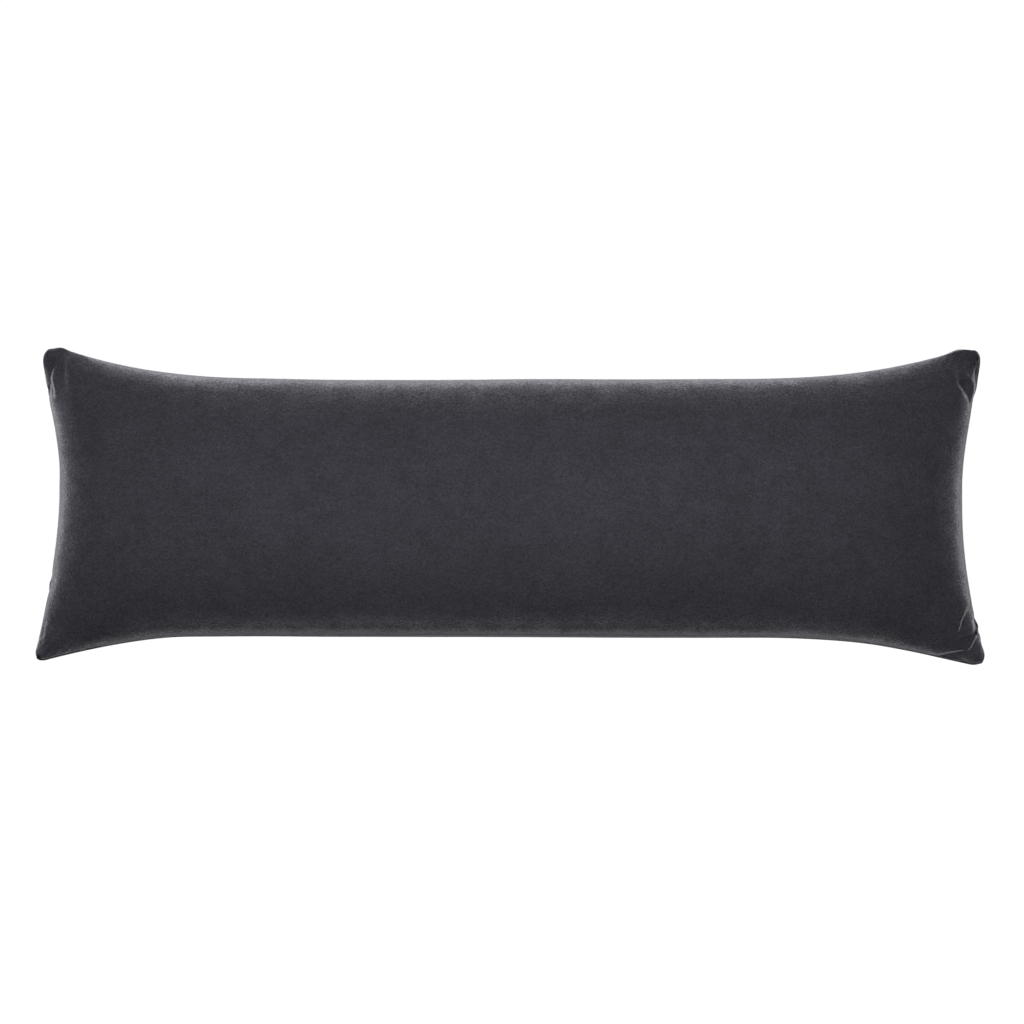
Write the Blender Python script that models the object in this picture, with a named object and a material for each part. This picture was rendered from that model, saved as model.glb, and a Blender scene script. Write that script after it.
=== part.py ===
# Lumbar pillow: a long cover of two velvet panels, filled, lying on its back.
# Metres, +Z up. +X runs along the pillow, +Y across it, and the front face looks up.
# The origin is on the surface it lies on, under the middle of the pillow.

import math
from collections import namedtuple

import bmesh
import bpy
from mathutils import Vector

# Driving dimensions
HALF_LENGTH = 0.4440
HALF_WIDTH = 0.1520
SEAM_HEIGHT = 0.0750
FRONT_CROWN = 0.0755
BACK_CROWN = 0.0840

# How the crown falls to the seam: a higher fullness stays level for longer
END_FULLNESS = 6.5
SIDE_FULLNESS = 2.0
SHOULDER = 0.57

# The flat spot under the back starts where the crown would pass the surface by PRESS_BLEND
PRESS_BLEND = 0.004

# The seam is a narrow groove between the rolled edges of the two panels
SEAM_ROLL = 0.0015
SEAM_DEPTH = 0.0018

# Panel mesh, with its rows and columns drawn together towards the seam
COLUMNS = 78
ROWS = 34
COLUMN_GATHER = 0.75
ROW_GATHER = 0.60
WELD = 0.0002

# Each corner: where its two seams would meet, how far back it is rounded, how far it droops
Corner = namedtuple("Corner", "x y rounding droop")
CORNERS = {
    "near_left": Corner(-0.4446, -0.1460, 0.0135, 0.007),
    "near_right": Corner(0.4462, -0.1520, 0.0175, 0.006),
    "far_left": Corner(-0.4393, 0.1563, 0.0260, 0.005),
    "far_right": Corner(0.4434, 0.1548, 0.0260, 0.005),
}
DROOP_ALONG = 8
DROOP_ACROSS = 3

# Each side seam is straight in the middle and flares out to its first and its last corner
ALONG_X = 0
ALONG_Y = 1
Side = namedtuple("Side", "along middle first first_reach first_power last last_reach last_power")
SIDES = {
    "near": Side(ALONG_X, -0.1211, "near_left", 0.138, 1.54, "near_right", 0.216, 2.05),
    "far": Side(ALONG_X, 0.1177, "far_left", 0.285, 3.29, "far_right", 0.258, 2.87),
    "left": Side(ALONG_Y, -0.4183, "near_left", 0.154, 1.66, "far_left", 0.118, 1.21),
    "right": Side(ALONG_Y, 0.4202, "near_right", 0.146, 1.88, "far_right", 0.136, 1.53),
}

# Folds of the front panel at the corners: the cloth steps down across each line, away from the middle
Fold = namedtuple("Fold", "corner x1 y1 x2 y2 width step")
FOLDS = (
    Fold("far_right", 0.4120, 0.1300, 0.4245, 0.0900, 0.0065, 0.0034),
    Fold("near_right", 0.4270, -0.0840, 0.4130, -0.1200, 0.0065, 0.0034),
    Fold("near_right", 0.4345, -0.1150, 0.4270, -0.1350, 0.0050, 0.0026),
    Fold("near_right", 0.3900, -0.1335, 0.4190, -0.1290, 0.0055, 0.0026),
    Fold("far_left", -0.4210, 0.1320, -0.4200, 0.0980, 0.0060, 0.0030),
    Fold("near_left", -0.4170, -0.0840, -0.4270, -0.1220, 0.0060, 0.0022),
)
FOLD_RIM = 0.010

VELVET_COLOUR = (0.042, 0.041, 0.048, 1.0)
VELVET_ROUGHNESS = 0.95


def clear_scene():
    for item in list(bpy.data.objects):
        bpy.data.objects.remove(item)


def smoothstep(value):
    value = min(max(value, 0.0), 1.0)
    return value * value * (3 - 2 * value)


def gathered(value, amount):
    """Moves a grid coordinate of -1 to 1 towards its nearer end."""
    return (1 - amount) * value + amount * math.sin(math.pi / 2 * value)


def corner_name(u, v):
    return ("far" if v > 0 else "near") + "_" + ("right" if u > 0 else "left")


def corner_point(name):
    return Vector((CORNERS[name].x, CORNERS[name].y))


def seam_point(name, share):
    """Point of a side seam, at a share of its way from its first corner to its last."""
    side = SIDES[name]
    first = corner_point(side.first)
    last = corner_point(side.last)
    across = 1 - side.along
    point = first.lerp(last, share)
    first_pull = 1 - min((point - first)[side.along] / side.first_reach, 1)
    last_pull = 1 - min((last - point)[side.along] / side.last_reach, 1)
    point[across] = side.middle
    point[across] += (first[across] - side.middle) * first_pull**side.first_power
    point[across] += (last[across] - side.middle) * last_pull**side.last_power
    return point


def round_corner(u, v):
    """Bends the square corner of the panel's coordinates into a round one."""
    rounding = CORNERS[corner_name(u, v)].rounding
    in_x = rounding - (1 - abs(u)) * HALF_LENGTH
    in_y = rounding - (1 - abs(v)) * HALF_WIDTH
    if in_x <= 0 or in_y <= 0:
        return u, v
    bent_x = in_x * math.sqrt(1 - in_y**2 / (2 * rounding**2))
    bent_y = in_y * math.sqrt(1 - in_x**2 / (2 * rounding**2))
    bent_u = math.copysign(1 - (rounding - bent_x) / HALF_LENGTH, u)
    bent_v = math.copysign(1 - (rounding - bent_y) / HALF_WIDTH, v)
    return bent_u, bent_v


def plan_point(u, v):
    """Where a panel's coordinates of -1 to 1 lie in plan, between its four seams."""
    u, v = round_corner(u, v)
    a = (u + 1) / 2
    b = (v + 1) / 2
    between_sides = seam_point("near", a).lerp(seam_point("far", a), b)
    between_ends = seam_point("left", b).lerp(seam_point("right", b), a)
    near = corner_point("near_left").lerp(corner_point("near_right"), a)
    far = corner_point("far_left").lerp(corner_point("far_right"), a)
    return between_sides + between_ends - near.lerp(far, b)


def swell(u, v):
    """Share of the crown's height: 1 in the middle, 0 at the seam."""
    along = (1 - abs(u) ** END_FULLNESS) ** SHOULDER
    across = (1 - abs(v) ** SIDE_FULLNESS) ** SHOULDER
    return along * across


def droop(u, v):
    return CORNERS[corner_name(u, v)].droop * abs(u) ** DROOP_ALONG * abs(v) ** DROOP_ACROSS


def pressed(depth):
    """Depth under the seam's height, levelled off where the back rests on the surface."""
    over = depth - (SEAM_HEIGHT - PRESS_BLEND)
    if over <= 0:
        return depth
    if over >= 2 * PRESS_BLEND:
        return SEAM_HEIGHT
    return depth - over**2 / (4 * PRESS_BLEND)


def fold_height(point, fold):
    """Raises the cloth just inside the fold's line and lowers it just outside."""
    start = Vector((fold.x1, fold.y1))
    line = Vector((fold.x2, fold.y2)) - start
    outward = Vector((-line.y, line.x)).normalized()
    if outward.dot(start) < 0:
        outward.negate()
    along = (point - start).dot(line.normalized())
    past_end = max(-along, along - line.length, 0) / (2 * fold.width)
    offset = (point - start).dot(outward) / fold.width
    return -fold.step * offset * math.exp(0.5 - offset**2 / 2 - past_end**2)


def folds_height(point, u, v):
    to_rim = min((1 - abs(u)) * HALF_LENGTH, (1 - abs(v)) * HALF_WIDTH)
    total = sum(fold_height(point, fold) for fold in FOLDS)
    return total * smoothstep(to_rim / FOLD_RIM)


def panel_point(grid_u, grid_v, is_front):
    """Place of a grid vertex. The outermost ring is the bottom of the seam's groove."""
    in_groove = max(abs(grid_u), abs(grid_v)) > 1 - 1 / COLUMNS
    u = gathered(max(-1, min(1, grid_u / (1 - 2 / COLUMNS))), COLUMN_GATHER)
    v = gathered(max(-1, min(1, grid_v / (1 - 2 / ROWS))), ROW_GATHER)
    drop = droop(u, v)
    if in_groove:
        inner = plan_point(u * (1 - SEAM_DEPTH / HALF_LENGTH), v * (1 - SEAM_DEPTH / HALF_WIDTH))
        return Vector((inner.x, inner.y, SEAM_HEIGHT - drop))
    point = plan_point(u, v)
    if is_front:
        height = SEAM_HEIGHT - drop + SEAM_ROLL + FRONT_CROWN * swell(u, v)
        height += folds_height(point, u, v)
    else:
        height = SEAM_HEIGHT - pressed(drop + SEAM_ROLL + BACK_CROWN * swell(u, v))
    return Vector((point.x, point.y, height))


def add_panel(cover, is_front):
    grid = bmesh.ops.create_grid(cover, x_segments=COLUMNS, y_segments=ROWS, size=1.0)
    for vert in grid["verts"]:
        vert.co = panel_point(vert.co.x, vert.co.y, is_front)
    if not is_front:
        faces = {face for vert in grid["verts"] for face in vert.link_faces}
        bmesh.ops.reverse_faces(cover, faces=list(faces))


def velvet():
    material = bpy.data.materials.new("velvet")
    material.use_nodes = True
    shader = material.node_tree.nodes["Principled BSDF"]
    shader.inputs["Base Color"].default_value = VELVET_COLOUR
    shader.inputs["Roughness"].default_value = VELVET_ROUGHNESS
    shader.inputs["Metallic"].default_value = 0.0
    return material


def make_cushion():
    cover = bmesh.new()
    add_panel(cover, is_front=True)
    add_panel(cover, is_front=False)
    bmesh.ops.remove_doubles(cover, verts=cover.verts, dist=WELD)
    mesh = bpy.data.meshes.new("cushion")
    cover.to_mesh(mesh)
    cover.free()
    mesh.materials.append(velvet())
    mesh.shade_smooth()
    return bpy.data.objects.new("cushion", mesh)


def main():
    clear_scene()
    pillow = bpy.data.collections.new("lumbar_pillow")
    bpy.context.scene.collection.children.link(pillow)
    pillow.objects.link(make_cushion())


main()
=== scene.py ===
import math
from types import SimpleNamespace

import bmesh
import bpy
import numpy as np
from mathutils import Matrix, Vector, noise


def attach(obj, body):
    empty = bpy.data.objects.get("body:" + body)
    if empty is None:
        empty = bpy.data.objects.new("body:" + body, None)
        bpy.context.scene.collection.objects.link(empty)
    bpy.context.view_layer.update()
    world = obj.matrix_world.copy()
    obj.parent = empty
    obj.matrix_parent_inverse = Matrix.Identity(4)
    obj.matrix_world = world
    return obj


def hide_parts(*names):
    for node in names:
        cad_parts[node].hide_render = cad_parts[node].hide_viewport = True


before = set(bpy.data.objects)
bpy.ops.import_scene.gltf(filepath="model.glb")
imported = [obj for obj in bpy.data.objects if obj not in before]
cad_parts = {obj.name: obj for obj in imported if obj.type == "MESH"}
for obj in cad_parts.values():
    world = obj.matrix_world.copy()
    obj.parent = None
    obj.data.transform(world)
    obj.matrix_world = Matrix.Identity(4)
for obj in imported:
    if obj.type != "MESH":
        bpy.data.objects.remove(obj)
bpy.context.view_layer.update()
scene = bpy.context.scene
print("cad frame loaded:", sorted(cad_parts))

# keeps a division away from nought
tiny = 1e-6


# The cover's outline when it is filled. Each corner is where two seams would meet,
# how far back it is rounded, and how far it droops.
outline = {
    "halfLength": 0.444,
    "halfWidth": 0.152,
    "seamHeight": 0.075,
    "corners": {
        "nearLeft": {"x": -0.4446, "y": -0.1460, "rounding": 0.0135, "droop": 0.007},
        "nearRight": {"x": 0.4462, "y": -0.1520, "rounding": 0.0175, "droop": 0.006},
        "farLeft": {"x": -0.4393, "y": 0.1563, "rounding": 0.0260, "droop": 0.005},
        "farRight": {"x": 0.4434, "y": 0.1548, "rounding": 0.0260, "droop": 0.005},
    },
    # axis, line of the straight middle, then corner, reach and power of each flare
    "sides": {
        "near": (0, -0.1211, ("nearLeft", 0.138, 1.54), ("nearRight", 0.216, 2.05)),
        "far": (0, 0.1177, ("farLeft", 0.285, 3.29), ("farRight", 0.258, 2.87)),
        "left": (1, -0.4183, ("nearLeft", 0.154, 1.66), ("farLeft", 0.118, 1.21)),
        "right": (1, 0.4202, ("nearRight", 0.146, 1.88), ("farRight", 0.136, 1.53)),
    },
    "droopAlong": 8,
    "droopAcross": 3,
    # the near seam lies a little higher than the far one
    "nearRise": 0.005,
    "farDrop": 0.005,
}


def cornerName(u, v):
    return ("far" if v > 0 else "near") + ("Right" if u > 0 else "Left")


def cornerPoint(name):
    corner = outline["corners"][name]
    return Vector((corner["x"], corner["y"]))


def seamPoint(name, share):
    # share 0 is the side's first corner and 1 its last
    axis, middle, firstFlare, lastFlare = outline["sides"][name]
    firstName, firstReach, firstPower = firstFlare
    lastName, lastReach, lastPower = lastFlare
    first = cornerPoint(firstName)
    last = cornerPoint(lastName)
    point = first.lerp(last, share)
    firstPull = max(0.0, 1 - (point - first)[axis] / firstReach) ** firstPower
    lastPull = max(0.0, 1 - (last - point)[axis] / lastReach) ** lastPower
    across = 1 - axis
    point[across] = middle
    point[across] += (first[across] - middle) * firstPull
    point[across] += (last[across] - middle) * lastPull
    return point


def roundedCorner(u, v):
    # bends the panel's square corner into a round one
    rounding = outline["corners"][cornerName(u, v)]["rounding"]
    inX = rounding - (1 - abs(u)) * outline["halfLength"]
    inY = rounding - (1 - abs(v)) * outline["halfWidth"]
    if inX <= 0 or inY <= 0:
        return u, v
    bentX = inX * math.sqrt(1 - inY**2 / (2 * rounding**2))
    bentY = inY * math.sqrt(1 - inX**2 / (2 * rounding**2))
    bentU = math.copysign(1 - (rounding - bentX) / outline["halfLength"], u)
    bentV = math.copysign(1 - (rounding - bentY) / outline["halfWidth"], v)
    return bentU, bentV


def planPoint(u, v):
    # place in plan of the panel's coordinates, which run from -1 to 1 between its seams
    u, v = roundedCorner(u, v)
    a = (u + 1) / 2
    b = (v + 1) / 2
    betweenSides = seamPoint("near", a).lerp(seamPoint("far", a), b)
    betweenEnds = seamPoint("left", b).lerp(seamPoint("right", b), a)
    near = cornerPoint("nearLeft").lerp(cornerPoint("nearRight"), a)
    far = cornerPoint("farLeft").lerp(cornerPoint("farRight"), a)
    return betweenSides + betweenEnds - near.lerp(far, b)


def seamLevel(u, v):
    droop = outline["corners"][cornerName(u, v)]["droop"]
    tilt = outline["nearRise"] * (1 - v) / 2 - outline["farDrop"] * (1 + v) / 2
    droop *= abs(u) ** outline["droopAlong"] * abs(v) ** outline["droopAcross"]
    return outline["seamHeight"] + tilt - droop


# Two flat panels, sewn round the edge and filled. Mesh steps are finer near the seam.
cover = {
    # size of each panel between its seams
    "cutLength": 0.914,
    "cutWidth": 0.305,
    # steps of the mesh: they widen over the seam's band, and again past the near band
    "stepAtSeam": 0.0015,
    "stepNearSeam": 0.0026,
    "stepInMiddle": 0.0110,
    "seamBand": 0.005,
    "nearBand": 0.036,
    # crown that the filling starts from: a higher fullness stays level for longer
    "startCrown": 0.0755,
    "endFullness": 6.5,
    "sideFullness": 2.0,
    "shoulder": 0.57,
    # the two panels' seam vertices are at most this far apart before they are sewn
    "weld": 0.00002,
    # wavy gathers that the filling pulls into the seam: length along the seam, height, seed
    "gathers": ((0.021, 0.0014, 3.1), (0.034, 0.0016, 8.7), (0.063, 0.0016, 15.2)),
    # how much faster the gathers pass across the pillow than along it
    "gatherTurn": 1.7,
    # velvet as the simulation sees it
    "pressure": 3.0,
    "stretchStiffness": 60,
    "pushStiffness": 5,
    "shearStiffness": 5,
    "bendStiffness": 0.2,
    "weight": 0.3,
    "damping": 10,
    "shearDamping": 5,
    "airDrag": 4,
    "quality": 6,
    "frames": 34,
}


def seamSteps(length):
    # grid places from -1 to 1 along a cut side, closer together near both of its ends
    places = [0.0]
    while places[-1] < length / 2:
        gap = places[-1]
        toNear = min(1, gap / cover["seamBand"])
        toMiddle = min(1, max(0, (gap - cover["nearBand"]) / cover["nearBand"]))
        step = cover["stepAtSeam"] + (cover["stepNearSeam"] - cover["stepAtSeam"]) * toNear
        step += (cover["stepInMiddle"] - cover["stepNearSeam"]) * toMiddle
        places.append(gap + step)
    half = np.array(places) / places[-1]
    return np.concatenate([half - 1, (1 - half)[::-1][1:]])


def gatherWave(along):
    # height of the seam's waves at a length along it, each read on its own line of the noise
    total = 0
    for length, height, seed in cover["gathers"]:
        total += height * noise.noise(Vector((along / length, seed, 0.5)))
    return total


def sewnPanels():
    columnPlaces = seamSteps(cover["cutLength"])
    rowPlaces = seamSteps(cover["cutWidth"])
    columns = len(columnPlaces) - 1
    rows = len(rowPlaces) - 1
    bm = bmesh.new()
    layers = {name: bm.verts.layers.float.new(name) for name in ("along", "across", "panel")}
    for side in (1, -1):
        grid = bmesh.ops.create_grid(bm, x_segments=columns, y_segments=rows, size=1.0)
        for vert in grid["verts"]:
            column = round((vert.co.x + 1) / 2 * columns)
            row = round((vert.co.y + 1) / 2 * rows)
            u = float(columnPlaces[column])
            v = float(rowPlaces[row])
            onSeam = column in (0, columns) or row in (0, rows)
            plan = planPoint(u, v)
            height = seamLevel(u, v)
            if onSeam:
                height += gatherWave(plan.x + plan.y * cover["gatherTurn"])
            else:
                along = (1 - abs(u) ** cover["endFullness"]) ** cover["shoulder"]
                across = (1 - abs(v) ** cover["sideFullness"]) ** cover["shoulder"]
                height += side * cover["startCrown"] * along * across
            vert.co = (plan.x, plan.y, height)
            vert[layers["along"]] = u
            vert[layers["across"]] = v
            vert[layers["panel"]] = 0 if onSeam else side
        if side < 0:
            faces = {face for vert in grid["verts"] for face in vert.link_faces}
            bmesh.ops.reverse_faces(bm, faces=list(faces))
    rim = [vert for vert in bm.verts if vert[layers["panel"]] == 0]
    bmesh.ops.remove_doubles(bm, verts=rim, dist=cover["weld"])
    mesh = bpy.data.meshes.new("velvetCover")
    bm.to_mesh(mesh)
    bm.free()
    return mesh


def meshOf(body):
    # the object's mesh with its modifiers applied, and the object itself removed
    graph = bpy.context.evaluated_depsgraph_get()
    shaped = bpy.data.meshes.new_from_object(body.evaluated_get(graph))
    bpy.data.objects.remove(body)
    return shaped


def readFloats(mesh, name):
    values = np.empty(len(mesh.vertices), np.float32)
    mesh.attributes[name].data.foreach_get("value", values)
    return values.astype(float)


def filledCover(mesh):
    # blows the sewn cover up with its seam held on the outline
    body = bpy.data.objects.new("fillingRun", mesh)
    scene.collection.objects.link(body)
    along = readFloats(mesh, "along") * cover["cutLength"] / 2
    across = readFloats(mesh, "across") * cover["cutWidth"] / 2
    body.shape_key_add(name="filled")
    flat = body.shape_key_add(name="flat")
    flatPlaces = np.stack([along, across, np.zeros(len(along))], axis=1)
    flat.data.foreach_set("co", flatPlaces.ravel())
    seam = body.vertex_groups.new(name="seam")
    seamVerts = np.flatnonzero(readFloats(mesh, "panel") == 0).tolist()
    seam.add(seamVerts, 1.0, "REPLACE")
    cloth = body.modifiers.new("cloth", "CLOTH")
    velvet = cloth.settings
    velvet.quality = cover["quality"]
    velvet.mass = cover["weight"]
    velvet.tension_stiffness = cover["stretchStiffness"]
    velvet.compression_stiffness = cover["pushStiffness"]
    velvet.shear_stiffness = cover["shearStiffness"]
    velvet.bending_stiffness = cover["bendStiffness"]
    velvet.tension_damping = cover["damping"]
    velvet.compression_damping = cover["damping"]
    velvet.shear_damping = cover["shearDamping"]
    velvet.air_damping = cover["airDrag"]
    velvet.use_pressure = True
    velvet.uniform_pressure_force = cover["pressure"]
    velvet.effector_weights.gravity = 0
    velvet.vertex_group_mass = "seam"
    velvet.rest_shape_key = flat
    cloth.point_cache.frame_start = 1
    cloth.point_cache.frame_end = cover["frames"]
    for step in range(1, cover["frames"] + 1):
        scene.frame_set(step)
    shaped = meshOf(body)
    scene.frame_set(1)
    return shaped


def smoothedCover(mesh):
    body = bpy.data.objects.new("smoothingRun", mesh)
    scene.collection.objects.link(body)
    smooth = body.modifiers.new("smooth", "SUBSURF")
    smooth.levels = 1
    smooth.render_levels = 1
    return meshOf(body)


# What is pressed and folded into the filled cover afterwards, and the shade and light painted on it
relief = {
    # the back swells this much more than the filling gave it, and is levelled where it rests,
    # from where it would pass the floor by less than pressBlend
    "backFullness": 1.105,
    "pressBlend": 0.004,
    # the seam is sunk between the two panels
    "seamDepth": 0.0017,
    "seamWidth": 0.0013,
    # rolled edges: how wide they are, and how far each panel's stand out past the seam
    "rollWidth": 0.018,
    "frontRoll": {"near": 0.0009, "far": 0.0021, "left": 0.0009, "right": 0.0012},
    "backRoll": {"near": 0.0028, "far": 0.0016, "left": 0.0009, "right": 0.0017},
    # least lean of the cloth that counts as facing outwards
    "flattest": 0.01,
    # rolled edges pushed out or in here and there: x, y, reach, front outwards, back outwards
    "seamShifts": (
        # far right ear
        (0.4345, 0.1260, 0.0120, -0.0026, 0.0019),
        (0.4310, 0.1110, 0.0110, 0.0011, 0.0024),
        (0.4260, 0.0850, 0.0330, 0.0011, 0.0011),
        (0.4190, 0.1455, 0.0100, -0.0005, 0.0008),
        (0.4180, 0.1460, 0.0120, 0.0010, 0.0010),
        # near right ear
        (0.4318, -0.1065, 0.0040, -0.0014, 0.0004),
        (0.4370, -0.1205, 0.0040, -0.0010, 0.0006),
        (0.4335, -0.1115, 0.0045, -0.0004, 0.0018),
        (0.4375, -0.1220, 0.0050, 0.0008, 0.0008),
        (0.4400, -0.1440, 0.0060, -0.0010, -0.0010),
        (0.4100, -0.1400, 0.0250, 0.0007, 0.0007),
        # near left ear
        (-0.4270, -0.0710, 0.0095, -0.0014, 0.0021),
        # far left ear
        (-0.4260, 0.1080, 0.0230, 0.0016, 0.0016),
        (-0.4260, 0.1060, 0.0060, -0.0012, 0.0014),
        (-0.4235, 0.1462, 0.0060, -0.0005, 0.0008),
        (-0.4190, 0.1470, 0.0060, 0.0014, 0.0010),
        # along the far and near sides
        (0.0300, 0.1180, 0.0700, 0.0009, 0.0009),
        (0.1900, 0.1180, 0.1000, 0.0007, 0.0007),
        (-0.2200, 0.1180, 0.0400, 0.0007, 0.0007),
        (0.1500, -0.1210, 0.1300, 0.0008, 0.0008),
        (-0.2500, -0.1210, 0.0700, -0.0007, -0.0007),
        (0.3300, -0.1280, 0.0350, -0.0007, -0.0007),
    ),
    # shallow lumps of the filling
    "lumpSize": 0.085,
    "lumpHeight": 0.0012,
    # the filling stops short of the corners, so the front lies flatter there: reach along the
    # pillow and across it, how far the ear's two seams are let out, how steeply the ear may
    # rise from them, how soft that rise starts, and how much shade is painted on the ear
    "ears": {
        "nearLeft": {
            "reachX": 0.075, "reachY": 0.050, "endOut": 0.0006, "sideOut": 0.0,
            "slope": 1.0, "soft": 0.0, "pressed": 0.0,
        },
        "nearRight": {
            "reachX": 0.080, "reachY": 0.034, "endOut": 0.0016, "sideOut": -0.0010,
            "slope": 0.90, "soft": 0.0, "pressed": 0.0,
        },
        "farLeft": {
            "reachX": 0.060, "reachY": 0.046, "endOut": 0.0024, "sideOut": -0.0010,
            "slope": 0.65, "soft": 0.0, "pressed": 0.8,
        },
        "farRight": {
            "reachX": 0.065, "reachY": 0.032, "endOut": 0.0030, "sideOut": -0.0012,
            "slope": 0.80, "soft": 0.012, "pressed": 1.2,
        },
    },
    # how far in from the side seam an ear's painted shade is at full strength, and the most
    # shade that ears and folds together paint
    "earShadedFrom": 0.012,
    "foldShadeMost": 1.2,
    # spots of painted shade or, below nought, painted light: x, y, reach along x and y, amount
    "paintedShadeAndLightSpots": (
        # far right ear
        (0.4382, 0.1290, 0.0022, 0.0120, 5.0),
        (0.4298, 0.1275, 0.0022, 0.0060, 1.5),
        (0.4330, 0.1310, 0.0012, 0.0050, 2.2),
        (0.4270, 0.1190, 0.0018, 0.0040, 1.6),
        (0.4312, 0.1110, 0.0012, 0.0050, -1.6),
        (0.4189, 0.1099, 0.0030, 0.0050, 0.5),
        (0.4147, 0.1230, 0.0012, 0.0080, -1.5),
        (0.4198, 0.0988, 0.0040, 0.0090, -1.2),
        # near right ear
        (0.4328, -0.1100, 0.0016, 0.0045, 5.0),
        (0.4345, -0.1085, 0.0014, 0.0060, 3.0),
        (0.4324, -0.1166, 0.0019, 0.0018, 3.0),
        (0.4352, -0.1238, 0.0028, 0.0050, -6.0),
        (0.4389, -0.1320, 0.0026, 0.0085, -3.5),
        (0.4250, -0.1000, 0.0030, 0.0060, -1.6),
        (0.4300, -0.1090, 0.0016, 0.0070, -2.5),
        (0.4310, -0.1170, 0.0020, 0.0030, 1.8),
        (0.4220, -0.1400, 0.0180, 0.0100, -1.2),
        (0.4226, -0.1338, 0.0040, 0.0015, 1.2),
        (0.3929, -0.1366, 0.0070, 0.0015, -2.0),
        # near left ear
        (-0.4380, -0.1310, 0.0050, 0.0120, -3.0),
        (-0.4200, -0.1350, 0.0250, 0.0120, -1.0),
        (-0.4380, -0.1402, 0.0024, 0.0024, 6.0),
        # far left ear
        (-0.4292, 0.1080, 0.0016, 0.0040, 6.0),
        (-0.4308, 0.1220, 0.0016, 0.0050, -1.5),
    ),
    # the same painted shade and light in bands along the front's rim: side, middle and reach
    # along it, amount, how far from the seam the band has its full strength, and where it has ended
    "paintedRimShadeAndLight": (
        ("near", -0.040, 0.330, 1.7, 0.001, 0.019),
        ("near", 0.000, 0.460, 1.3, 0.0003, 0.0045),
        ("near", -0.200, 0.260, -0.10, 0.024, 0.055),
        ("far", -0.340, 0.070, -1.5, 0.011, 0.020),
        ("far", -0.265, 0.050, -0.5, 0.010, 0.020),
        ("far", 0.350, 0.045, -1.2, 0.011, 0.020),
        ("left", 0.090, 0.026, -1.2, 0.006, 0.034),
        ("right", -0.030, 0.075, -1.1, 0.009, 0.016),
        ("right", 0.095, 0.022, -0.7, 0.010, 0.018),
    ),
    # share of its width over which a band ends
    "paintedRimFade": 0.4,
    # small puckers that run towards each corner; the two seeds tell the corners apart
    "puckers": {
        "length": 0.020, "spacing": 0.0055, "height": 0.0005,
        "reachX": 0.110, "reachY": 0.070, "rim": 0.004, "seeds": (3, 5),
    },
    # the front panel's mesh is halved here, where the folds go
    "fineBeyondX": 0.385,
    "fineBeyondY": 0.072,
    "fineBelowSeam": 0.004,
    # painted shade where the back shows past the seam, and its share in the seam itself,
    # which is where the mesh is less than seamShare of the way to either panel
    "seamPaintedShade": 2.6,
    "seamPaintedShadeWidth": 0.007,
    "seamTurned": 0.6,
    "seamShare": 0.3,
    # the most painted shade that everything together gives
    "mostPaintedShade": 3.3,
}
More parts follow.
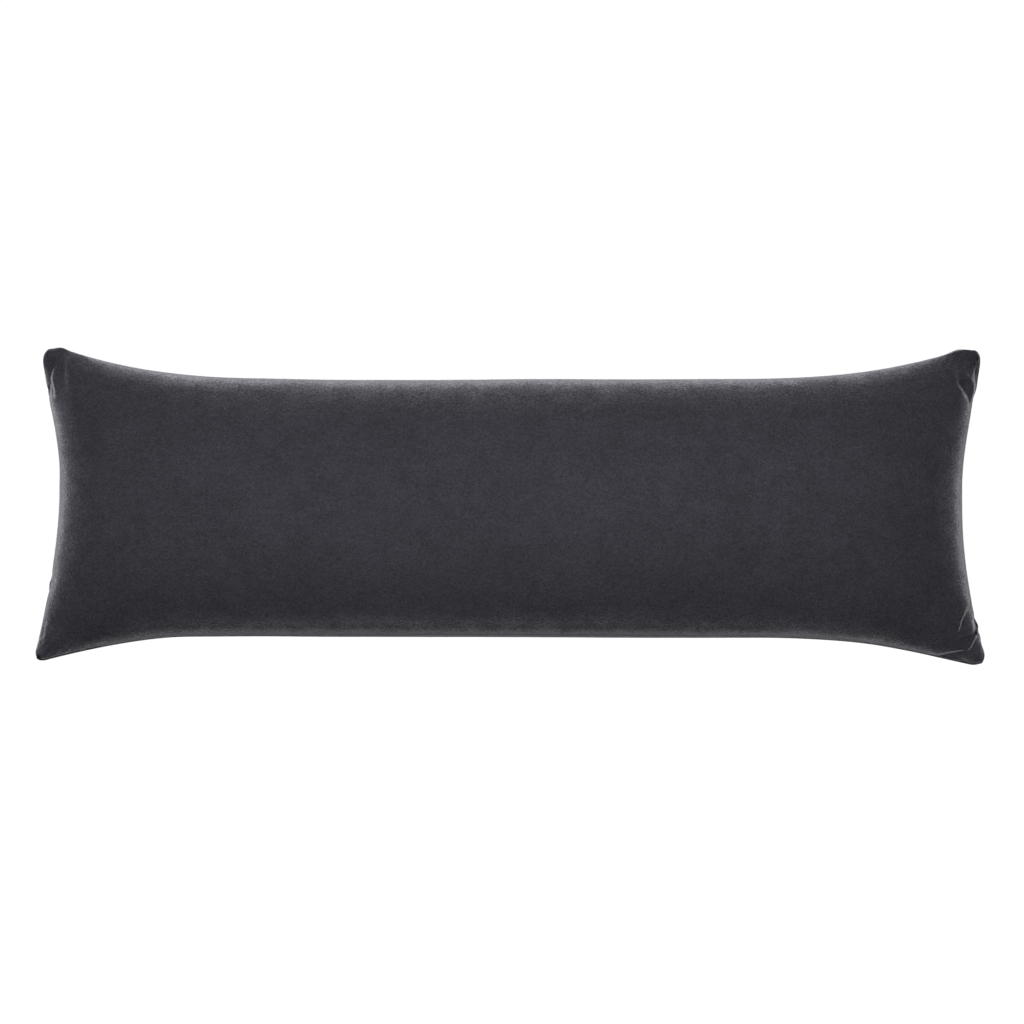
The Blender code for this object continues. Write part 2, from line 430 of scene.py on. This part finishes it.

# Corner folds: path in plan with its low side on the right, reach of the ridge beside it,
# width of the step, reach of the hollow, height of the ridge and depth of the hollow,
# the shares of the path over which the fold starts and ends, how much shade is painted in
# its hollow, and how far from the seam it has its full depth
folds = {
    "farRightDart": {
        "path": (
            (0.4262, 0.0890), (0.4215, 0.0994), (0.4175, 0.1067),
            (0.4133, 0.1132), (0.4122, 0.1236), (0.4117, 0.1351),
        ),
        "ridge": 0.009, "step": 0.0042, "hollow": 0.009, "rise": 0.0005, "drop": 0.0018,
        "startFade": 0.1, "endFade": 0.7, "pressed": 1.0, "rim": 0.009,
    },
    "farRightRim": {
        "path": (
            (0.4250, 0.0922), (0.4268, 0.0988), (0.4293, 0.1073),
            (0.4306, 0.1150), (0.4308, 0.1200),
        ),
        "ridge": 0.004, "step": 0.0024, "hollow": 0.004, "rise": 0.0020, "drop": 0.0012,
        "startFade": 0.2, "endFade": 0.25, "pressed": 0.0, "rim": 0.0012,
    },
    "farRightFacet": {
        "path": ((0.4282, 0.1156), (0.4253, 0.1211), (0.4204, 0.1261)),
        "ridge": 0.005, "step": 0.0022, "hollow": 0.006, "rise": 0.0002, "drop": 0.0003,
        "startFade": 0.3, "endFade": 0.3, "pressed": 0.2, "rim": 0.003,
    },
    "nearRightDart": {
        "path": (
            (0.4122, -0.1190), (0.4138, -0.1129), (0.4159, -0.1055),
            (0.4198, -0.0972), (0.4268, -0.0870),
        ),
        "ridge": 0.010, "step": 0.0018, "hollow": 0.010, "rise": 0.0010, "drop": 0.0028,
        "startFade": 0.4, "endFade": 0.06, "pressed": 0.2, "rim": 0.003,
    },
    "nearRightLap": {
        "path": ((0.4060, -0.1230), (0.4168, -0.1195), (0.4251, -0.1172), (0.4304, -0.1150)),
        "ridge": 0.008, "step": 0.0060, "hollow": 0.009, "rise": 0.0004, "drop": 0.0016,
        "startFade": 0.4, "endFade": 0.05, "pressed": 0.5, "rim": 0.003,
    },
    "nearRightTuck": {
        "path": (
            (0.4190, -0.1385), (0.4212, -0.1350), (0.4254, -0.1310),
            (0.4290, -0.1243), (0.4335, -0.1178),
        ),
        "ridge": 0.006, "step": 0.0025, "hollow": 0.006, "rise": 0.0012, "drop": 0.0034,
        "startFade": 0.8, "endFade": 0.06, "pressed": 0.0, "rim": 0.003,
    },
    "nearRightCrease": {
        "path": (
            (0.3900, -0.1385), (0.3955, -0.1374), (0.4041, -0.1350),
            (0.4153, -0.1332), (0.4250, -0.1325),
        ),
        "ridge": 0.008, "step": 0.0018, "hollow": 0.012, "rise": 0.0008, "drop": 0.0024,
        "startFade": 0.15, "endFade": 0.4, "pressed": 0.7, "rim": 0.003,
    },
    "farLeftRidge": {
        "path": (
            (-0.4175, 0.1370), (-0.4201, 0.1295), (-0.4222, 0.1249),
            (-0.4230, 0.1183), (-0.4210, 0.1107), (-0.4185, 0.0970),
        ),
        "ridge": 0.007, "step": 0.0028, "hollow": 0.007, "rise": 0.0008, "drop": 0.0016,
        "startFade": 0.6, "endFade": 0.3, "pressed": 0.5, "rim": 0.003,
    },
    "farLeftNotch": {
        "path": ((-0.4228, 0.1130), (-0.4238, 0.1108), (-0.4253, 0.1025)),
        "ridge": 0.003, "step": 0.0014, "hollow": 0.003, "rise": 0.0004, "drop": 0.0012,
        "startFade": 0.3, "endFade": 0.3, "pressed": 0.6, "rim": 0.003,
    },
    "farLeftPucker": {
        "path": ((-0.4145, 0.1440), (-0.4107, 0.1255), (-0.4075, 0.1080), (-0.4055, 0.0960)),
        "ridge": 0.008, "step": 0.0100, "hollow": 0.008, "rise": 0.0016, "drop": 0.0014,
        "startFade": 0.3, "endFade": 0.4, "pressed": 0.0, "rim": 0.003,
    },
    "nearLeftPucker": {
        "path": ((-0.4262, -0.1020), (-0.4288, -0.1135), (-0.4314, -0.1248), (-0.4327, -0.1324)),
        "ridge": 0.004, "step": 0.0030, "hollow": 0.004, "rise": 0.0003, "drop": 0.0004,
        "startFade": 0.3, "endFade": 0.3, "pressed": 0.1, "rim": 0.003,
    },
}


def refinedCorners(mesh):
    # halves the steps of the front's mesh in the four corners
    bm = bmesh.new()
    bm.from_mesh(mesh)
    lowest = outline["seamHeight"] - relief["fineBelowSeam"]
    edges = set()
    for face in bm.faces:
        middle = face.calc_center_median()
        inCorner = abs(middle.x) > relief["fineBeyondX"] and abs(middle.y) > relief["fineBeyondY"]
        if inCorner and middle.z > lowest:
            edges.update(face.edges)
    bmesh.ops.subdivide_edges(bm, edges=list(edges), cuts=1, use_grid_fill=True)
    bm.to_mesh(mesh)
    bm.free()
    return mesh


def smoothed(share):
    share = np.clip(share, 0, 1)
    return share * share * (3 - 2 * share)


def readCover(mesh):
    # the cover's vertices: where they are, where they lie on their panel from -1 to 1,
    # and how far along the flat cloth the nearest end seam and side seam are
    cloth = SimpleNamespace()
    count = len(mesh.vertices)
    places = np.empty(count * 3)
    mesh.vertices.foreach_get("co", places)
    cloth.places = places.reshape(-1, 3)
    normals = np.empty(count * 3, np.float32)
    mesh.vertex_normals.foreach_get("vector", normals)
    cloth.normals = normals.reshape(-1, 3)
    cloth.u = readFloats(mesh, "along")
    cloth.v = readFloats(mesh, "across")
    cloth.gapX = (1 - np.abs(cloth.u)) * cover["cutLength"] / 2
    cloth.gapY = (1 - np.abs(cloth.v)) * cover["cutWidth"] / 2
    cloth.gap = np.minimum(cloth.gapX, cloth.gapY)
    panel = readFloats(mesh, "panel")
    cloth.below = panel < 0
    cloth.onSeam = np.abs(panel) < relief["seamShare"]
    # the settings of the ear that each vertex belongs to, and its share in that ear
    ears = relief["ears"]
    names = [cornerName(u, v) for u, v in zip(cloth.u, cloth.v)]
    cloth.ears = {key: np.array([ears[name][key] for name in names]) for key in ears["nearLeft"]}
    cloth.inEar = smoothed(1 - cloth.gapX / cloth.ears["reachX"])
    cloth.inEar *= smoothed(1 - cloth.gapY / cloth.ears["reachY"])
    return cloth


def addLumps(cloth):
    size = relief["lumpSize"]
    lumps = np.array([noise.noise(Vector(place) / size) for place in cloth.places])
    height = lumps * relief["lumpHeight"] * np.clip(cloth.gap / size, 0, 1)
    cloth.places += cloth.normals * height[:, None]


def levelBack(cloth):
    # swells the back, and levels it where it rests
    blend = relief["pressBlend"]
    seam = outline["seamHeight"]
    depth = (seam - cloth.places[:, 2]) * relief["backFullness"]
    over = depth - (seam - blend)
    eased = np.where(over > 2 * blend, seam, depth - over**2 / (4 * blend))
    levelled = seam - np.where(over > 0, eased, depth)
    cloth.places[:, 2] = np.where(cloth.below, levelled, cloth.places[:, 2])


def flattenEars(cloth):
    # lowers the front towards its two seams where the filling stops short of a corner
    height = cloth.places[:, 2]
    seam = np.array([seamLevel(u, v) for u, v in zip(cloth.u, cloth.v)])
    inward = cloth.gapX * cloth.gapY / (np.hypot(cloth.gapX, cloth.gapY) + tiny)
    rise = cloth.ears["slope"] * inward**2 / (inward + cloth.ears["soft"] + tiny)
    flat = np.minimum(height - seam, rise)
    flattened = height + cloth.inEar * (seam + flat - height)
    cloth.places[:, 2] = np.where(cloth.below, height, flattened)


def foldHeight(x, y, fold):
    # the height that a fold adds, and each place's share in its hollow, from the distance to
    # the nearest stretch of the fold's path, which is positive on its right
    nearest = np.full(len(x), np.inf)
    across = np.zeros(len(x))
    share = np.zeros(len(x))
    path = [Vector(point) for point in fold["path"]]
    lengths = [(b - a).length for a, b in zip(path, path[1:])]
    begun = 0
    for start, end, length in zip(path, path[1:], lengths):
        dirX, dirY = (end - start) / length
        along = (x - start.x) * dirX + (y - start.y) * dirY
        held = np.clip(along, 0, length)
        offX = x - start.x - held * dirX
        offY = y - start.y - held * dirY
        distance = np.hypot(offX, offY)
        closer = distance < nearest
        nearest = np.where(closer, distance, nearest)
        across = np.where(closer, (x - start.x) * dirY - (y - start.y) * dirX, across)
        share = np.where(closer, (begun + along) / sum(lengths), share)
        begun += length
    signed = np.copysign(nearest, across)
    ends = smoothed(share / fold["startFade"]) * smoothed((1 - share) / fold["endFade"])
    fall = smoothed(signed / fold["step"] + 0.5)
    ridge = fold["rise"] * np.exp(-((np.minimum(signed, 0) / fold["ridge"]) ** 2))
    hollow = fold["drop"] * np.exp(-((np.maximum(signed, 0) / fold["hollow"]) ** 2))
    height = ends * ((1 - fall) * ridge - fall * hollow)
    return height, ends * fall * hollow / fold["drop"]


def cornerPuckers(cloth):
    puckers = relief["puckers"]
    share = smoothed(1 - cloth.gapX / puckers["reachX"])
    share *= smoothed(1 - cloth.gapY / puckers["reachY"])
    share *= smoothed(cloth.gap / puckers["rim"])
    toward = (cloth.gapX + cloth.gapY) / 2 / puckers["length"]
    beside = (cloth.gapX - cloth.gapY) / puckers["spacing"]
    seedX, seedY = puckers["seeds"]
    corner = seedX * np.sign(cloth.u) + seedY * np.sign(cloth.v)
    waves = np.zeros(len(share))
    for i in np.flatnonzero(share):
        waves[i] = noise.noise(Vector((toward[i], beside[i], corner[i])))
    return puckers["height"] * share * waves


def foldCorners(cloth):
    # adds the puckers and folds, and gives the shade painted in their hollows and on the ears
    x, y = cloth.places[:, 0], cloth.places[:, 1]
    pressed = cloth.inEar * cloth.ears["pressed"]
    pressed *= smoothed(cloth.gapY / relief["earShadedFrom"])
    folded = cornerPuckers(cloth)
    for fold in folds.values():
        height, hollow = foldHeight(x, y, fold)
        inside = smoothed(cloth.gap / fold["rim"])
        folded += height * inside
        pressed += hollow * inside * fold["pressed"]
    cloth.places[:, 2] += np.where(cloth.below, 0, folded)
    return np.clip(pressed, 0, relief["foldShadeMost"])


def rollEdges(cloth):
    # the rolled edges stand out from the seam, and the seam itself is sunk between them
    sideways = np.linalg.norm(cloth.normals[:, :2], axis=1)
    outward = cloth.normals[:, :2] / np.maximum(sideways, relief["flattest"])[:, None]
    endShare = outward[:, 0] ** 2
    sideShare = outward[:, 1] ** 2
    roll = cloth.inEar * (endShare * cloth.ears["endOut"] + sideShare * cloth.ears["sideOut"])
    for onPanel, rolls in ((~cloth.below, relief["frontRoll"]), (cloth.below, relief["backRoll"])):
        atEnd = np.where(outward[:, 0] < 0, rolls["left"], rolls["right"])
        atSide = np.where(outward[:, 1] < 0, rolls["near"], rolls["far"])
        roll += onPanel * (endShare * atEnd + sideShare * atSide)
    for shiftX, shiftY, reach, frontOut, backOut in relief["seamShifts"]:
        away = np.hypot(cloth.places[:, 0] - shiftX, cloth.places[:, 1] - shiftY)
        roll += np.where(cloth.below, backOut, frontOut) * np.exp(-((away / reach) ** 2))
    roll *= np.exp(-((cloth.gap / relief["rollWidth"]) ** 2))
    roll -= relief["seamDepth"] * np.exp(-((cloth.gap / relief["seamWidth"]) ** 2))
    cloth.places[:, :2] += outward * roll[:, None]


def pressedNap(cloth, pressed):
    # painted shade at each vertex, and painted light where it is below nought: the folds and ears,
    # the seam, the spots and the rim bands
    x, y = cloth.places[:, 0], cloth.places[:, 1]
    # painted shade in the seam groove and on the back where it shows past the seam
    inSeam = relief["seamPaintedShade"] * np.exp(-((cloth.gap / relief["seamPaintedShadeWidth"]) ** 2))
    pressed = np.where(cloth.below, inSeam, pressed)
    pressed = np.where(cloth.onSeam, relief["seamTurned"] * inSeam, pressed)
    # spots of painted shade, and of painted light where the amount is below nought
    for spotX, spotY, reachX, reachY, amount in relief["paintedShadeAndLightSpots"]:
        offX = (x - spotX) / reachX
        offY = (y - spotY) / reachY
        pressed += amount * np.exp(-(offX**2) - offY**2)
    sides = {
        "near": (cloth.v < 0, cloth.gapY, x),
        "far": (cloth.v > 0, cloth.gapY, x),
        "left": (cloth.u < 0, cloth.gapX, y),
        "right": (cloth.u > 0, cloth.gapX, y),
    }
    # bands of painted shade along the front's rim, and of painted light where the amount is below
    # nought
    for side, middle, reach, amount, begins, ends in relief["paintedRimShadeAndLight"]:
        onSide, fromSeam, spot = sides[side]
        fade = relief["paintedRimFade"] * ends
        band = smoothed(fromSeam / begins) * smoothed((ends - fromSeam) / fade)
        band *= np.exp(-(((spot - middle) / reach) ** 4))
        pressed += amount * band * (onSide & ~cloth.below)
    return np.minimum(pressed, relief["mostPaintedShade"])


def addRelief(mesh):
    cloth = readCover(mesh)
    addLumps(cloth)
    levelBack(cloth)
    flattenEars(cloth)
    pressed = foldCorners(cloth)
    rollEdges(cloth)
    # the painted shade and light go onto the vertices, for the material to darken and lighten the
    # colour by
    nap = mesh.attributes.new("pressedNap", "FLOAT", "POINT")
    nap.data.foreach_set("value", pressedNap(cloth, pressed).astype(np.float32))
    mesh.vertices.foreach_set("co", cloth.places.ravel())
    mesh.update()
    lowest, highest = cloth.places[:, 2].min(), cloth.places[:, 2].max()
    print("folds and seam added, from", round(float(lowest), 4), "to", round(float(highest), 4))


# Short cotton pile: charcoal, matt, with a painted sheen that makes it paler where the surface is
# seen edge-on
velvetLook = {
    "colour": (0.0360, 0.0346, 0.0420),
    # colour painted in as sheen where the surface is seen edge-on
    "sheenPaintColour": (0.0360, 0.0353, 0.0382),
    "roughness": 0.95,
    "gloss": 0.0,
    "sheen": 0.6,
    "sheenRoughness": 0.30,
    "sheenTint": (0.94, 0.93, 1.0, 1.0),
    # painted sheen: how much of its colour is added where the surface is seen edge-on, how fast that
    # fades, and its limit
    "paintedSheenGain": 125.0,
    "paintedSheenFall": 5.2,
    "paintedSheenMost": 7.0,
    # how much darker each unit of painted shade makes the colour, in the folds, ears, seam, spots
    # and rim bands
    "pressedDark": 0.28,
    # unevenness of the pile, from broad patches to its grain: size in metres, stretch along
    # the pillow, and strength
    "noises": {
        "clouds": {"size": 0.060, "stretch": 1.1, "strength": 0.15},
        "nap": {"size": 0.014, "stretch": 1.2, "strength": 0.17},
        "slubs": {"size": 0.0035, "stretch": 1.3, "strength": 0.24},
        "grain": {"size": 0.0015, "stretch": 1.15, "strength": 0.66},
    },
    "noiseDetail": 2,
    # where most of a noise's values lie, and how far each noise is moved from the one before
    "noiseSpan": (0.25, 0.75),
    "noiseShift": (0.37, 0.21),
    # how deep the pile is, how strongly that shows, and the slubs' height in pile depths
    "pileDepth": 0.00025,
    "pileShows": 0.6,
    "slubLift": 0.5,
    # how unevenly the painted sheen falls, in the pile's grain and in its brushed patches
    "paintedSheenGrain": 1.2,
    "paintedSheenPatches": 0.5,
}


def spreadOver(tree, texture, strength):
    # turns a noise into a factor about 1
    spread = tree.nodes.new("ShaderNodeMapRange")
    spread.inputs["From Min"].default_value = velvetLook["noiseSpan"][0]
    spread.inputs["From Max"].default_value = velvetLook["noiseSpan"][1]
    spread.inputs["To Min"].default_value = 1 - strength / 2
    spread.inputs["To Max"].default_value = 1 + strength / 2
    tree.links.new(texture, spread.inputs["Value"])
    return spread.outputs["Result"]


def reckoned(tree, operation, *values):
    # one sum in the material: each value is a socket to link or a plain number
    step = tree.nodes.new("ShaderNodeMath")
    step.operation = operation
    for socket, value in zip(step.inputs, values):
        if isinstance(value, (int, float)):
            socket.default_value = value
        else:
            tree.links.new(value, socket)
    return step.outputs["Value"]


def scaled(tree, colour, factor):
    # a colour, linked or plain, times a linked factor
    step = tree.nodes.new("ShaderNodeVectorMath")
    step.operation = "SCALE"
    if isinstance(colour, tuple):
        step.inputs[0].default_value = colour
    else:
        tree.links.new(colour, step.inputs[0])
    tree.links.new(factor, step.inputs["Scale"])
    return step.outputs["Vector"]


def napNoises(tree):
    # one noise for each kind of unevenness, fixed to the pillow
    place = tree.nodes.new("ShaderNodeTexCoord")
    shiftX, shiftY = velvetLook["noiseShift"]
    noises = {}
    for number, (name, values) in enumerate(velvetLook["noises"].items()):
        mapping = tree.nodes.new("ShaderNodeMapping")
        mapping.inputs["Scale"].default_value = (1 / values["stretch"], 1, 1)
        mapping.inputs["Location"].default_value = (number * shiftX, number * shiftY, 0)
        texture = tree.nodes.new("ShaderNodeTexNoise")
        texture.inputs["Scale"].default_value = 1 / values["size"]
        texture.inputs["Detail"].default_value = velvetLook["noiseDetail"]
        texture.label = name
        tree.links.new(place.outputs["Object"], mapping.inputs["Vector"])
        tree.links.new(mapping.outputs["Vector"], texture.inputs["Vector"])
        noises[name] = texture.outputs["Fac"]
    return noises


def pileNormal(tree, noises):
    pile = tree.nodes.new("ShaderNodeBump")
    pile.inputs["Strength"].default_value = velvetLook["pileShows"]
    pile.inputs["Distance"].default_value = velvetLook["pileDepth"]
    height = reckoned(tree, "MULTIPLY_ADD", noises["slubs"], velvetLook["slubLift"], noises["grain"])
    tree.links.new(height, pile.inputs["Height"])
    return pile.outputs["Normal"]


def toneAndPaintedShade(tree, noises):
    # darkens and lightens the whole colour by the noises, and paints shade into it from the vertex
    # attribute, and light where that attribute is below nought
    shade = 1.0
    for name, values in velvetLook["noises"].items():
        uneven = spreadOver(tree, noises[name], values["strength"])
        shade = reckoned(tree, "MULTIPLY", shade, uneven)
    # painted shade from the vertices: each unit darkens the colour, and below nought it paints light
    pressed = tree.nodes.new("ShaderNodeAttribute")
    pressed.attribute_name = "pressedNap"
    paintedShadeFactor = reckoned(tree, "MULTIPLY_ADD", pressed.outputs["Fac"], -velvetLook["pressedDark"], 1.0)
    return reckoned(tree, "MULTIPLY", shade, paintedShadeFactor)


def paintedSheen(tree, noises, normal):
    # painted sheen: how strongly the sheen colour is added to the base colour where the surface is
    # seen edge-on
    facing = tree.nodes.new("ShaderNodeLayerWeight")
    tree.links.new(normal, facing.inputs["Normal"])
    side = reckoned(tree, "POWER", facing.outputs["Facing"], velvetLook["paintedSheenFall"])
    for name, strength in (("grain", velvetLook["paintedSheenGrain"]), ("nap", velvetLook["paintedSheenPatches"])):
        side = reckoned(tree, "MULTIPLY", side, spreadOver(tree, noises[name], strength))
    pale = reckoned(tree, "MULTIPLY", side, velvetLook["paintedSheenGain"])
    return reckoned(tree, "MINIMUM", pale, velvetLook["paintedSheenMost"])


def velvetMaterial():
    look = bpy.data.materials.new("charcoalVelvet")
    look.use_nodes = True
    tree = look.node_tree
    shader = tree.nodes["Principled BSDF"]
    shader.inputs["Roughness"].default_value = velvetLook["roughness"]
    shader.inputs["Specular IOR Level"].default_value = velvetLook["gloss"]
    shader.inputs["Sheen Weight"].default_value = velvetLook["sheen"]
    shader.inputs["Sheen Roughness"].default_value = velvetLook["sheenRoughness"]
    shader.inputs["Sheen Tint"].default_value = velvetLook["sheenTint"]
    noises = napNoises(tree)
    normal = pileNormal(tree, noises)
    tree.links.new(normal, shader.inputs["Normal"])
    whole = tree.nodes.new("ShaderNodeVectorMath")
    whole.operation = "ADD"
    whole.inputs[1].default_value = velvetLook["colour"]
    # painted sheen: the sheen colour is added to the base colour where the surface is seen edge-on
    sheenPaint = scaled(tree, velvetLook["sheenPaintColour"], paintedSheen(tree, noises, normal))
    tree.links.new(sheenPaint, whole.inputs[0])
    dye = scaled(tree, whole.outputs["Vector"], toneAndPaintedShade(tree, noises))
    tree.links.new(dye, shader.inputs["Base Color"])
    return look


def makePillow():
    mesh = filledCover(sewnPanels())
    print("cover filled")
    mesh = refinedCorners(smoothedCover(mesh))
    addRelief(mesh)
    mesh.shade_smooth()
    mesh.name = "velvetPillow"
    mesh.materials.clear()
    mesh.materials.append(velvetMaterial())
    pillow = bpy.data.objects.new("velvetPillow", mesh)
    scene.collection.objects.link(pillow)
    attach(pillow, "root")
    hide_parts("cushion")
    print("pillow finished:", len(mesh.polygons), "faces")


# Pale sweep and soft light
studio = {
    "floorSize": 12,
    "floorPaper": (0.50, 0.50, 0.50, 1.0),
    "paperRoughness": 0.9,
    "white": (1, 1, 1, 1),
    "whiteStrength": 1.02,
    # soft contact shadow: how far from the pillow it reaches, and how dark it gets
    "shadowReach": 0.036,
    "shadowDark": 0.55,
    "shadowSamples": 4,
    "skyStrength": 0.0,
    # soft boxes: place, size, power
    "lamps": {
        "over": ((0, 0.22, 1.25), 0.7, 15.6),
        "behind": ((0, 1.20, 2.10), 1.0, 4.5),
        "leftLow": ((-2.70, 0.70, 0.40), 0.8, 22.0),
        "rightLow": ((2.70, 0.50, 0.40), 0.8, 7.0),
        "nearLow": ((0.30, -2.70, 0.45), 0.8, 4.0),
    },
}


def contactShadow(tree):
    # dims the white where the pillow is close above the floor
    close = tree.nodes.new("ShaderNodeAmbientOcclusion")
    close.samples = studio["shadowSamples"]
    close.inputs["Distance"].default_value = studio["shadowReach"]
    dimmed = tree.nodes.new("ShaderNodeMath")
    dimmed.operation = "MULTIPLY_ADD"
    dimmed.inputs[1].default_value = studio["shadowDark"]
    dimmed.inputs[2].default_value = studio["whiteStrength"] - studio["shadowDark"]
    tree.links.new(close.outputs["AO"], dimmed.inputs[0])
    return dimmed.outputs["Value"]


def seenWhite(tree, lit, whiteNode, output):
    # the camera sees plain white, and everything else the real paper or sky
    white = tree.nodes.new(whiteNode)
    white.inputs["Color"].default_value = studio["white"]
    white.inputs["Strength"].default_value = studio["whiteStrength"]
    seen = tree.nodes.new("ShaderNodeLightPath")
    mix = tree.nodes.new("ShaderNodeMixShader")
    tree.links.new(seen.outputs["Is Camera Ray"], mix.inputs[0])
    tree.links.new(lit, mix.inputs[1])
    tree.links.new(white.outputs[0], mix.inputs[2])
    tree.links.new(mix.outputs[0], tree.nodes[output].inputs["Surface"])
    return white


def makeFloor():
    paper = bpy.data.materials.new("palePaper")
    paper.use_nodes = True
    tree = paper.node_tree
    shader = tree.nodes["Principled BSDF"]
    shader.inputs["Base Color"].default_value = studio["floorPaper"]
    shader.inputs["Roughness"].default_value = studio["paperRoughness"]
    white = seenWhite(tree, shader.outputs[0], "ShaderNodeEmission", "Material Output")
    tree.links.new(contactShadow(tree), white.inputs["Strength"])
    mesh = bpy.data.meshes.new("paperSweep")
    bm = bmesh.new()
    bmesh.ops.create_grid(bm, x_segments=1, y_segments=1, size=studio["floorSize"] / 2)
    bm.to_mesh(mesh)
    bm.free()
    mesh.materials.append(paper)
    floor = bpy.data.objects.new("paperSweep", mesh)
    scene.collection.objects.link(floor)


def makeSky():
    world = bpy.data.worlds.new("softRoom")
    world.use_nodes = True
    scene.world = world
    tree = world.node_tree
    sky = tree.nodes["Background"]
    sky.inputs["Color"].default_value = studio["white"]
    sky.inputs["Strength"].default_value = studio["skyStrength"]
    seenWhite(tree, sky.outputs[0], "ShaderNodeBackground", "World Output")


def makeLamps():
    for name, (place, size, power) in studio["lamps"].items():
        lamp = bpy.data.lights.new(name + "Softbox", "AREA")
        lamp.shape = "DISK"
        lamp.size = size
        lamp.energy = power
        holder = bpy.data.objects.new(name + "Softbox", lamp)
        scene.collection.objects.link(holder)
        holder.location = place
        holder.visible_camera = False
        aim = Vector((0, 0, outline["seamHeight"])) - holder.location
        holder.rotation_euler = aim.to_track_quat("-Z", "Y").to_euler()


# Straight above the pillow, with its long side level in the picture
view = {"lens": 85, "filmWidth": 36, "x": 0.0022, "y": -0.0054, "height": 2.324}


def makeCamera():
    camera = bpy.data.cameras.new("overheadCamera")
    camera.lens = view["lens"]
    camera.sensor_width = view["filmWidth"]
    holder = bpy.data.objects.new("overheadCamera", camera)
    scene.collection.objects.link(holder)
    holder.location = (view["x"], view["y"], view["height"])
    scene.camera = holder
    scene.view_settings.view_transform = "Standard"


makePillow()
makeFloor()
makeSky()
makeLamps()
print("studio lit")
makeCamera()
print("camera set")
